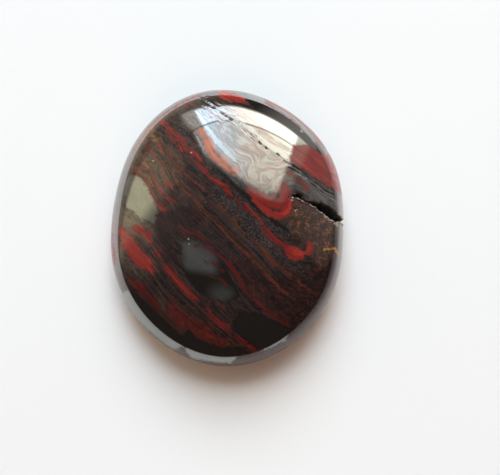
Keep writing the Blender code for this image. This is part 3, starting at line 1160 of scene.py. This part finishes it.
    def beds(
        self, graph: Graph, seen: Patterns, colour: Socket, metal: Socket
    ) -> tuple[Socket, Socket, Socket]:
        """Lays the clean beds over the ground: hematite, then jasper, then ochre.

        A bed's edge is its margin, moved in and out by streaks and grains. Jasper has dark veins,
        orange glints and a faint halo in the ground beside it.

        Args:
            graph: the material's node tree.
            seen: the noises.
            colour: the ground's colour.
            metal: the ground's share of metal.

        Returns:
            The colour, the share of metal and the share of jasper or ochre.
        """
        add = graph.add
        ragged: Any = -0.5 * sum(self.edge_gains)
        for noise, gain in zip((seen.layers, seen.thin, seen.speck, seen.blotch), self.edge_gains):
            ragged = add("TimesPlus", noise, gain, ragged)

        def edged(mineral: Mineral) -> Socket:
            """Share of a mineral: its ragged margin, turned to an edge."""
            margin = add("TimesPlus", ragged, mineral.wander, self.field(graph, mineral.label))
            return add("Rise", margin, -mineral.softness, mineral.softness)

        ore = edged(HEMATITE)
        sheen = add("Times", add("Rise", seen.thin, *self.ore_thin_shine),
                    add("Rise", seen.thick, *self.ore_thick_shine))
        metal = add("Level", ore, metal, sheen)
        colour = add("Blend", ore, colour, hex_colour(self.hematite_stain))

        tone = self.field(graph, "jasper_tone")
        red = add("Blend", tone, hex_colour(self.jasper_dark), hex_colour(self.jasper_bright))
        vein = add("Rise", add("Plus", seen.layers, seen.thin), *self.vein)
        vein = add("Times", vein, add("Minus", self.cleanest_tone, tone))
        red = add("Blend", vein, red, hex_colour(self.jasper_dark))
        glint = add("Times", add("Rise", seen.other, *self.glint_layer),
                    add("Rise", seen.speck, *self.glint_grain))
        red = add("Blend", add("Times", glint, tone), red, hex_colour(self.jasper_orange))
        halo = add("Times", add("Rise", self.field(graph, JASPER.label), *self.halo),
                   add("Rise", seen.lined, *self.halo_line))
        colour = add("Blend", add("Times", halo, self.halo_share), colour, red)
        jasper = edged(JASPER)
        colour = add("Blend", jasper, colour, red)
        metal = add("Level", jasper, metal, 0.0)

        ochre = edged(OCHRE)
        tone = self.field(graph, "ochre_tone")
        rust = add("Blend", tone, hex_colour(self.ochre_dark), hex_colour(self.ochre_bright))
        colour = add("Blend", ochre, colour, rust)
        return colour, add("Level", ochre, metal, 0.0), add("Greater", jasper, ochre)

    def material(self) -> bpy.types.Material:
        """Builds the material.

        Returns:
            The material, for the stone's skin.
        """
        material = bpy.data.materials.new("lapped_banded_jasper_and_hematite")
        graph = Graph(material)
        add = graph.add
        seen = self.patterns(graph)
        colour, metal, rock = self.beds(graph, seen, *self.ground(graph, seen))

        # Painted light: the rim's colour is brightened, most in red, as a painted glow of the pale floor
        # that it faces, more on the far side than the near
        rim = self.field(graph, "rim")
        lit = add("Tint", 1.0, colour, self.painted_rim_glow_gain)
        colour = add("Blend", add("Times", rim, self.painted_rim_glow_share), colour, lit)

        # Where the polish has broken out the rock is rough and pale at the lips; the dark in the cracks
        # is painted shade, darker where they are deeper
        cavity, lip = self.field(graph, "cavity"), self.field(graph, "lip")
        colour = add("Blend", cavity, colour, hex_colour(self.painted_crevice_shade))
        colour = add("Blend", lip, colour, hex_colour(self.crumb))
        broken = add("Greater", cavity, lip)
        metal = add("Level", broken, metal, 0.0)
        roughness = add("Level", broken, self.polish, self.broken_roughness)

        # Red and brown rock at the rim takes less shine than the iron ore beside it
        glassy = add("Times", rim, add("Rise", rock, *self.rock_shine))
        glassy = add("Level", broken, glassy, 0.0)

        # One shader stands for rock and metal mixed too finely to see: its colour is their sum,
        # and its metallic value is the metal's part of that sum
        grey = hex_colour(self.hematite)
        colour = add("Blend", metal, colour, grey)
        part = add("Ratio", add("Times", metal, grey[0]), add("RGBToBW", colour))
        shader = add(
            "BsdfPrincipled", Base_Color=colour, Roughness=roughness, IOR=self.ior, Metallic=part,
            Coat_Weight=glassy, Coat_IOR=self.rim_ior, Coat_Roughness=self.polish,
        )
        add("OutputMaterial", shader)
        return material


def put(name: str, data: bpy.types.ID) -> bpy.types.Object:
    """Makes an object and links it to the scene.

    Args:
        name: the object's name.
        data: its mesh, light or camera.

    Returns:
        The object.
    """
    obj = bpy.data.objects.new(name, data)
    bpy.context.scene.collection.objects.link(obj)
    return obj


@dataclass(frozen=True)
class Cabochon:
    """The stone itself: its skin as one closed surface, with its relief and its beds.

    The breaks fade out below the top, by a range of height, and have no colour below the colour
    foot. The other ranges turn depths in mm into shares of what is seen in a break, such as the
    painted shade in the fissure and the cracks, and heights and places into the shine of the rim
    and the painted glow of its colour.
    """

    form: StoneForm = StoneForm()
    grid: SkinGrid = SkinGrid()
    fissure: Fissure = Fissure()
    bedding: Bedding = Bedding()
    chip: Chip = Chip()
    break_fade: Range = (0.6, 1.8)
    colour_foot: float = 0.8
    # Depths in mm that set how dark the painted shade is in the fissure and the cracks
    fissure_shade_depths: Range = (0.03, 0.12)
    crack_shade_depths: Range = (0.0, 0.07, 0.0, 0.8)
    fleck_edge: Range = (0.5, 1.2, 1.0, 0.0)
    chip_edge: Range = (0.02, 0.15)
    pit_rim: Range = (0.0, 0.01, 0.0, 0.6)
    pit_floor: Range = (0.02, 0.05, 1.0, 0.0)
    rim_shoulder: Range = (3.7, 4.4, 1.0, 0.0)
    rim_foot: Range = (1.3, 2.1, 0.3, 1.0)
    # The rim's shine and the painted glow of its colour fall off towards the near side
    rim_far: Range = (-12.5, -0.5, 0.12, 1.0)

    def smooth_skin(self) -> Array:
        """Works out the unbroken stone, from the pole over the rim to the back.

        Over the top each ring is the outline shrunk towards the pole and lifted to the dome.
        The underside is a quarter ellipse turned in from the outline, and the back's rings
        shrink its last one towards the middle.

        Returns:
            Places in mm, as rings by spokes by xyz.
        """
        bearings = self.grid.bearings()
        ring = np.stack([np.cos(bearings), np.sin(bearings)], axis=-1)
        radius = self.form.radius(bearings)[:, None]
        pole = np.array(self.grid.pole)
        shares = self.grid.dome_shares()[:, None, None]
        top = pole + shares * (radius * ring - pole)
        height = self.form.dome(top[..., 0], top[..., 1])
        height[-1] = self.form.girdle_height
        turns = 0.5 * pi * np.arange(1, self.grid.underside_rings + 1) / self.grid.underside_rings
        inset = self.form.undercut * (1.0 - np.cos(turns))[:, None, None]
        side = (radius - inset) * ring
        side_height = self.form.girdle_height * (1.0 - np.sin(turns))[:, None]
        side_height = np.broadcast_to(side_height, side.shape[:2])
        shrink = 1.0 - np.arange(1, self.grid.back_rings + 1) / (self.grid.back_rings + 1)
        back = side[-1] * shrink[:, None, None]
        heights = np.concatenate([height, side_height, np.zeros(back.shape[:2])])
        return np.concatenate([np.concatenate([top, side, back]), heights[..., None]], axis=-1)

    def inward(self, skin: Array) -> Array:
        """Finds the way into the stone: the cross product of the steps along ring and spoke.

        Args:
            skin: places in mm, as rings by spokes by xyz.

        Returns:
            A unit vector for each place.
        """
        ring_step = np.roll(skin, -1, axis=1) - np.roll(skin, 1, axis=1)
        cross = np.cross(ring_step, np.gradient(skin, axis=0))
        return cross / np.linalg.norm(cross, axis=-1, keepdims=True)

    def relief(self, skin: Array) -> Array:
        """Presses the fissure, the cracks, the pits and the chip into the skin.

        Args:
            skin: places in mm, as rings by spokes by xyz.

        Returns:
            The same places on the broken stone.
        """
        x, y, z = skin[..., 0], skin[..., 1], skin[..., 2]
        breaks = self.fissure.sink(x, y) + sum(mark.sink(x, y) for mark in SEAMS + PITS)
        sink = breaks * rise(z, *self.break_fade) + self.chip.sink(skin)
        return skin + self.inward(skin) * sink[..., None]

    def closed(self, skin: Array) -> Array:
        """Lists a skin's places, with the pole and the middle of the back at the end.

        Args:
            skin: places in mm, as rings by spokes by xyz.

        Returns:
            Rows of xyz in mm.
        """
        x, y = (np.array([value]) for value in self.grid.pole)
        pole = np.stack([x, y, self.form.dome(x, y)], axis=-1)
        return np.vstack([skin.reshape(-1, 3), pole, np.zeros((1, 3))])

    def faces(self, rings: int, spokes: int) -> list[Array]:
        """Joins the places of the closed skin, turned to face out.

        Args:
            rings: how many rings the skin has.
            spokes: how many places a ring has.

        Returns:
            Corner numbers: the top's triangles, the quads between rings and the back's triangles.
        """
        here = np.arange(spokes)
        after = np.roll(here, -1)
        row = np.arange(rings - 1)[:, None] * spokes
        quads = np.stack([row + here, row + spokes + here, row + spokes + after, row + after], axis=-1)
        last, pole, back = (rings - 1) * spokes, rings * spokes, rings * spokes + 1
        top = np.stack([np.full(spokes, pole), here, after], axis=-1)
        base = np.stack([np.full(spokes, back), last + after, last + here], axis=-1)
        return [top, quads.reshape(-1, 4), base]

    def mesh(self, points: Array, faces: list[Array]) -> bpy.types.Mesh:
        """Makes the smooth mesh.

        Args:
            points: rows of xyz in mm.
            faces: corner numbers, one array for each kind of face.

        Returns:
            The mesh in metres.
        """
        mesh = bpy.data.meshes.new("mugglestone_skin")
        loops = np.concatenate([part.ravel() for part in faces]).astype(np.int32)
        sizes = np.concatenate([np.full(len(part), part.shape[1]) for part in faces])
        starts = np.concatenate([[0], np.cumsum(sizes)[:-1]]).astype(np.int32)
        mesh.vertices.add(len(points))
        mesh.vertices.foreach_set("co", (points * MM).astype(np.float32).ravel())
        mesh.loops.add(len(loops))
        mesh.loops.foreach_set("vertex_index", loops)
        mesh.polygons.add(len(sizes))
        mesh.polygons.foreach_set("loop_start", starts)
        mesh.update(calc_edges=True)
        mesh.shade_smooth()
        log.info("skin: %d points, %d faces", len(points), len(sizes))
        return mesh

    def fields(self, plain: Array) -> dict[str, Array]:
        """Works out every field that the material reads, on the unbroken stone.

        The cavity is dark in the fissure, the cracks and the pits, a painted shade that deepens with
        their depth. The lip is pale beside the fissure, in the chip and the flecks, and round the pits.
        The rim shines from the shoulder down, and most on the far side; the same share paints a glow
        into the rim's colour.

        Args:
            plain: rows of xyz in mm.

        Returns:
            Arrays by attribute name. A row of three is a vector.
        """
        x, y, z = plain[:, 0], plain[:, 1], plain[:, 2]
        found = self.bedding.fields(plain, self.form.girdle_height)
        top = z > self.colour_foot
        pits = sum(pit.sink(x, y) for pit in PITS)
        cracks = sum(seam.sink(x, y) for seam in SEAMS) + pits
        # Painted shade: the deeper the fissure or a crack, the darker the colour there
        dark = rise(self.fissure.sink(x, y), *self.fissure_shade_depths)
        found["cavity"] = top * np.maximum(dark, rise(cracks, *self.crack_shade_depths))
        flecks = sum(
            rise(np.hypot(x - fleck_x, y - fleck_y) / radius, *self.fleck_edge)
            for fleck_x, fleck_y, radius in FLECKS
        )
        chipped = rise(self.chip.sink(plain), *self.chip_edge)
        rims = rise(pits, *self.pit_rim) * rise(pits, *self.pit_floor)
        found["lip"] = top * np.maximum.reduce([self.fissure.lip(x, y), flecks, chipped, rims])
        rim = rise(z, *self.rim_shoulder) * rise(z, *self.rim_foot)
        # The rim's share sets both its coat's shine and the painted glow of its colour, less on the near
        # side
        found["rim"] = rim * rise(y, *self.rim_far)
        return found

    def build(self) -> bpy.types.Object:
        """Makes the skin's mesh, its attributes and its material.

        Returns:
            The finished piece.
        """
        skin = self.smooth_skin()
        mesh = self.mesh(self.closed(self.relief(skin)), self.faces(*skin.shape[:2]))
        for name, values in self.fields(self.closed(skin)).items():
            kind, slot = ("FLOAT_VECTOR", "vector") if values.ndim == 2 else ("FLOAT", "value")
            layer = mesh.attributes.new(name, kind, "POINT")
            layer.data.foreach_set(slot, values.astype(np.float32).ravel())
        piece = put("mugglestone_skin", mesh)
        mesh.materials.append(PolishedStone().material())
        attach(piece, "root")
        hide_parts("stone")
        return piece


def area_light(name: str, width: float, height: float, radiance: float) -> bpy.types.Light:
    """Makes a rectangular light whose power is its radiance times pi and its area.

    Args:
        name: the light's name.
        width: its width in metres.
        height: its height in metres.
        radiance: how bright it looks beside a white floor of 1.

    Returns:
        The light, not yet hung.
    """
    lamp = bpy.data.lights.new(name, "AREA")
    lamp.shape = "RECTANGLE"
    lamp.size, lamp.size_y = width, height
    lamp.energy = width * height * pi * radiance
    return lamp


def cloth(graph: Graph) -> list[Socket]:
    """Where on its rectangle a light is seen: two shares of its sides, from 0 to 1."""
    spot = graph.add("NewGeometry").node.outputs["Parametric"]
    return list(graph.add("SeparateXYZ", spot).node.outputs[:2])


@dataclass(frozen=True)
class Edge:
    """A soft straight edge of a softbox's cloth, in the cloth's own plan.

    The cloth is lit where across * x + up * z + offset is over 0, and the light fades in over
    the softness. Places on the cloth are measured in reaches, from under the stone.
    """

    across: float
    up: float
    offset: float
    softness: float


@dataclass(frozen=True)
class Bar:
    """A thin dark bar across a softbox's cloth, level but for its left end, which turns up.

    Height, half-width and the place where it turns up are in reaches, and lift is the rise for
    each reach to the left of that place. Dimness is the share of light that the bar takes, and
    core the share of its half-width that is fully dim.
    """

    height: float
    half_width: float
    dimness: float
    turn: float
    lift: float
    core: float = 0.3


@dataclass(frozen=True)
class Softbox:
    """A studio softbox: an upright cloth, one reach from the stone, lit from behind.

    Low and high are its corners as (along the cloth, height), in reaches. The radiances say how
    bright it looks beside a white floor of 1: at its foot and its top, and below its bar. Its
    colour turns between two places along the cloth.
    """

    name: str
    bearing: float
    low: Point
    high: Point
    foot_radiance: float
    top_radiance: float
    left_colour: str
    right_colour: str
    edges: tuple[Edge, ...]
    bar: Bar | None = None
    below_bar: float = 1.0
    setback: float = 1.0
    colour_turn: Range = (-0.25, 0.3)

    def barred(self, graph: Graph, glow: Socket, along: Socket, up: Socket) -> Socket:
        """Takes the bar's light away and brightens the cloth below it.

        Args:
            graph: the light's node tree.
            glow: radiance before the bar.
            along: place along the cloth.
            up: height on the cloth.

        Returns:
            The radiance with the bar.
        """
        bar = self.bar
        left = graph.add("Greater", graph.add("Minus", bar.turn, along), 0.0)
        above = graph.add("Minus", up, graph.add("TimesPlus", left, bar.lift, bar.height))
        half = bar.half_width
        brighter = graph.add("MapRange", above, -half, half, self.below_bar, 1.0)
        gap = graph.add("Size", above)
        kept = graph.add("Rise", gap, bar.core * half, half, 1.0 - bar.dimness, 1.0)
        return graph.add("Times", graph.add("Times", glow, brighter), kept)

    def hang(self, reach: float) -> bpy.types.Object:
        """Adds the light.

        Args:
            reach: one reach in metres, which the setback lengthens.

        Returns:
            The light's object.
        """
        reach *= self.setback
        width, height = (self.high[i] - self.low[i] for i in (0, 1))
        lamp = area_light(self.name, width * reach, height * reach, 1.0)
        graph = Graph(lamp)
        add = graph.add
        share_along, share_up = cloth(graph)
        along = add("MapRange", share_along, 1.0, 0.0, self.low[0], self.high[0])
        up = add("MapRange", share_up, 0.0, 1.0, self.low[1], self.high[1])
        glow = add("MapRange", up, self.low[1], self.high[1], self.foot_radiance, self.top_radiance)
        for edge in self.edges:
            inward = add("TimesPlus", up, edge.up, add("TimesPlus", along, edge.across, edge.offset))
            glow = add("Times", glow, add("Rise", inward, 0.0, edge.softness))
        if self.bar is not None:
            glow = self.barred(graph, glow, along, up)
        side = add("Rise", along, *self.colour_turn)
        tint = add("Blend", side, hex_colour(self.left_colour), hex_colour(self.right_colour))
        add("OutputLight", add("Emission", tint, glow))
        turn = radians(self.bearing)
        middle = 0.5 * (self.low[0] + self.high[0])
        obj = put(self.name, lamp)
        obj.location = (
            reach * (middle * np.cos(turn) - np.sin(turn)),
            reach * (middle * np.sin(turn) + np.cos(turn)),
            reach * 0.5 * (self.low[1] + self.high[1]),
        )
        obj.rotation_euler = Euler((0.5 * pi, 0.0, pi + turn))
        return obj


@dataclass(frozen=True)
class Panel:
    """A plain rectangular light that faces the stone. Its sides and place are in metres.

    The radiance says how bright it looks beside a white floor of 1. Its light fades out over
    the softness, a share of its sides. Only a reflected panel is seen in the polish.
    """

    name: str
    sides: Point
    place: Place
    radiance: float
    colour: str = "#FFFFFF"
    reflected: bool = True
    softness: float = 0.0

    def hang(self) -> bpy.types.Object:
        """Adds the light.

        Returns:
            The light's object.
        """
        lamp = area_light(self.name, *self.sides, self.radiance)
        lamp.color = hex_colour(self.colour)[:3]
        if self.softness > 0.0:
            graph = Graph(lamp)
            glow: Any = 1.0
            for part in cloth(graph):
                off = graph.add("Size", graph.add("Minus", part, 0.5))
                share = graph.add("Rise", off, 0.5 - self.softness, 0.5, 1.0, 0.0)
                glow = graph.add("Times", share, glow)
            graph.add("OutputLight", graph.add("Emission", None, glow))
        obj = put(self.name, lamp)
        obj.location = self.place
        obj.rotation_euler = (-Vector(self.place)).to_track_quat("-Z", "Y").to_euler()
        obj.visible_glossy = self.reflected
        return obj


@dataclass(frozen=True)
class Glow:
    """A broad soft brightening of the room's walls, about a direction from the stone.

    The colour is linear, and the spread the range of the cosine that it rises over.
    """

    towards: Place
    colour: tuple[float, ...]
    spread: Range


@dataclass(frozen=True)
class Studio:
    """The pale floor, the soft lights and the camera.

    Sizes are in metres, but the eye is in mm and its turn in degrees. The lens and the clip
    distances are the camera's own, in mm and in metres.
    """

    floor_half: float = 0.5
    floor_colour: str = "#EAEEF0"
    floor_roughness: float = 0.9
    floor_gap: float = 0.00005
    reach: float = 0.6
    room_colour: tuple[float, ...] = (0.045, 0.034, 0.030, 1.0)
    eye: Place = (0.467, -11.068, 55.652)
    eye_turn: Place = (9.88, -1.776, -1.144)
    lens: float = 36.0
    sensor: float = 36.0
    clip: Point = (0.001, 10.0)
    softboxes: tuple[Softbox, ...] = (
        Softbox("tall_softbox", 0.0, (-0.4, 0.36), (0.8, 2.24), 3.4, 1.52, "#C4E4FF", "#E8E4D8",
                (Edge(1.0, -0.10, 0.36, 0.04), Edge(1.0, -0.53, 0.91, 0.06),
                 Edge(0.68, -1.0, 1.95, 0.12), Edge(-1.0, -0.02, 0.72, 0.06),
                 Edge(0.0, 1.0, -0.38, 0.04), Edge(0.0, -1.0, 2.24, 0.08)),
                Bar(0.71, 0.026, 0.8, -0.1, 0.35), below_bar=1.5),
        Softbox("side_panel", 0.0, (-0.62, 0.33), (1.05, 2.3), 1.7, 1.0, "#E4EAF0", "#F4ECDC",
                (Edge(1.0, -0.10, 0.52, 0.08), Edge(1.0, -0.53, 1.06, 0.08),
                 Edge(-1.0, 0.0, 1.0, 0.2), Edge(0.0, 1.0, -0.34, 0.06),
                 Edge(0.68, -1.0, 2.05, 0.15), Edge(0.0, -1.0, 2.3, 0.1)),
                Bar(0.71, 0.026, 0.8, -0.1, 0.35), setback=1.03),
        Softbox("left_softbox", 90.0, (-0.2, 0.02), (1.4, 2.0), 1.0, 0.94, "#F2EEC4", "#F2EEC4",
                (Edge(1.0, 0.0, 0.14, 0.36), Edge(1.0, -0.55, 0.20, 0.2),
                 Edge(-1.0, 0.0, 1.35, 0.5), Edge(0.0, -1.0, 1.95, 0.8),
                 Edge(-0.55, 1.0, -0.02, 0.12))),
    )
    panels: tuple[Panel, ...] = (
        Panel("fill", (0.7, 0.7), (-0.06, 0.8, 0.62), 6.9, "#E9F5FF", False),
        Panel("front_bounce", (0.8, 0.8), (0.0, -0.8, 0.35), 1.9, "#FFC2A0", False),
        Panel("overhead_panel", (0.20, 0.22), (-0.2, 0.03, 0.6), 0.18, softness=0.3),
        Panel("near_panel", (0.20, 0.18), (-0.11, -0.17, 0.6), 0.1, softness=0.45),
    )
    glows: tuple[Glow, ...] = (
        Glow((-0.70, 0.62, 0.35), (0.5, 0.44, 0.36, 1.0), (0.6, 0.95)),
        Glow((0.78, 0.55, 0.30), (0.55, 0.52, 0.50, 1.0), (0.75, 0.95)),
    )

    def floor(self) -> bpy.types.Object:
        """Lays a wide flat board under the stone.

        Returns:
            The floor's object.
        """
        half = self.floor_half
        corners = [(-half, -half, 0.0), (half, -half, 0.0), (half, half, 0.0), (-half, half, 0.0)]
        mesh = bpy.data.meshes.new("floor")
        mesh.from_pydata(corners, [], [(0, 1, 2, 3)])
        material = bpy.data.materials.new("matt_painted_board")
        material.use_nodes = True
        shader = material.node_tree.nodes["Principled BSDF"]
        shader.inputs["Base Color"].default_value = hex_colour(self.floor_colour)
        shader.inputs["Roughness"].default_value = self.floor_roughness
        mesh.materials.append(material)
        obj = put("floor", mesh)
        obj.location.z = -self.floor_gap
        return obj

    def lights(self) -> None:
        """Hangs the softboxes and the panels."""
        for softbox in self.softboxes:
            softbox.hang(self.reach)
        for panel in self.panels:
            panel.hang()

    def room(self) -> None:
        """Puts dim warm walls all round, brighter towards the glows."""
        world = bpy.data.worlds.new("dim_room")
        bpy.context.scene.world = world
        graph = Graph(world)
        towards = graph.add("TexCoord").node.outputs["Generated"]
        colour: Any = self.room_colour
        for glow in self.glows:
            lean = graph.add("Towards", towards, glow.towards).node.outputs["Value"]
            colour = graph.add("Blend", graph.add("Rise", lean, *glow.spread), colour, glow.colour)
        graph.add("OutputWorld", graph.add("Background", colour, 1.0))

    def camera(self) -> bpy.types.Object:
        """Sets up a camera at the photograph's viewing angle.

        Returns:
            The camera's object.
        """
        data = bpy.data.cameras.new("camera")
        data.lens = self.lens
        data.sensor_width = self.sensor
        data.sensor_fit = "HORIZONTAL"
        data.clip_start, data.clip_end = self.clip
        obj = put("camera", data)
        obj.location = Vector(self.eye) * MM
        obj.rotation_euler = Euler([radians(angle) for angle in self.eye_turn])
        bpy.context.scene.camera = obj
        return obj


def main() -> None:
    logging.basicConfig(level=logging.INFO, format="%(message)s")
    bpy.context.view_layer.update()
    studio = Studio()
    studio.camera()
    studio.floor()
    studio.lights()
    studio.room()
    log.info("studio: camera, floor and lights")
    Cabochon().build()
    bpy.context.scene.view_settings.view_transform = "Standard"


if __name__ == "__main__":
    main()
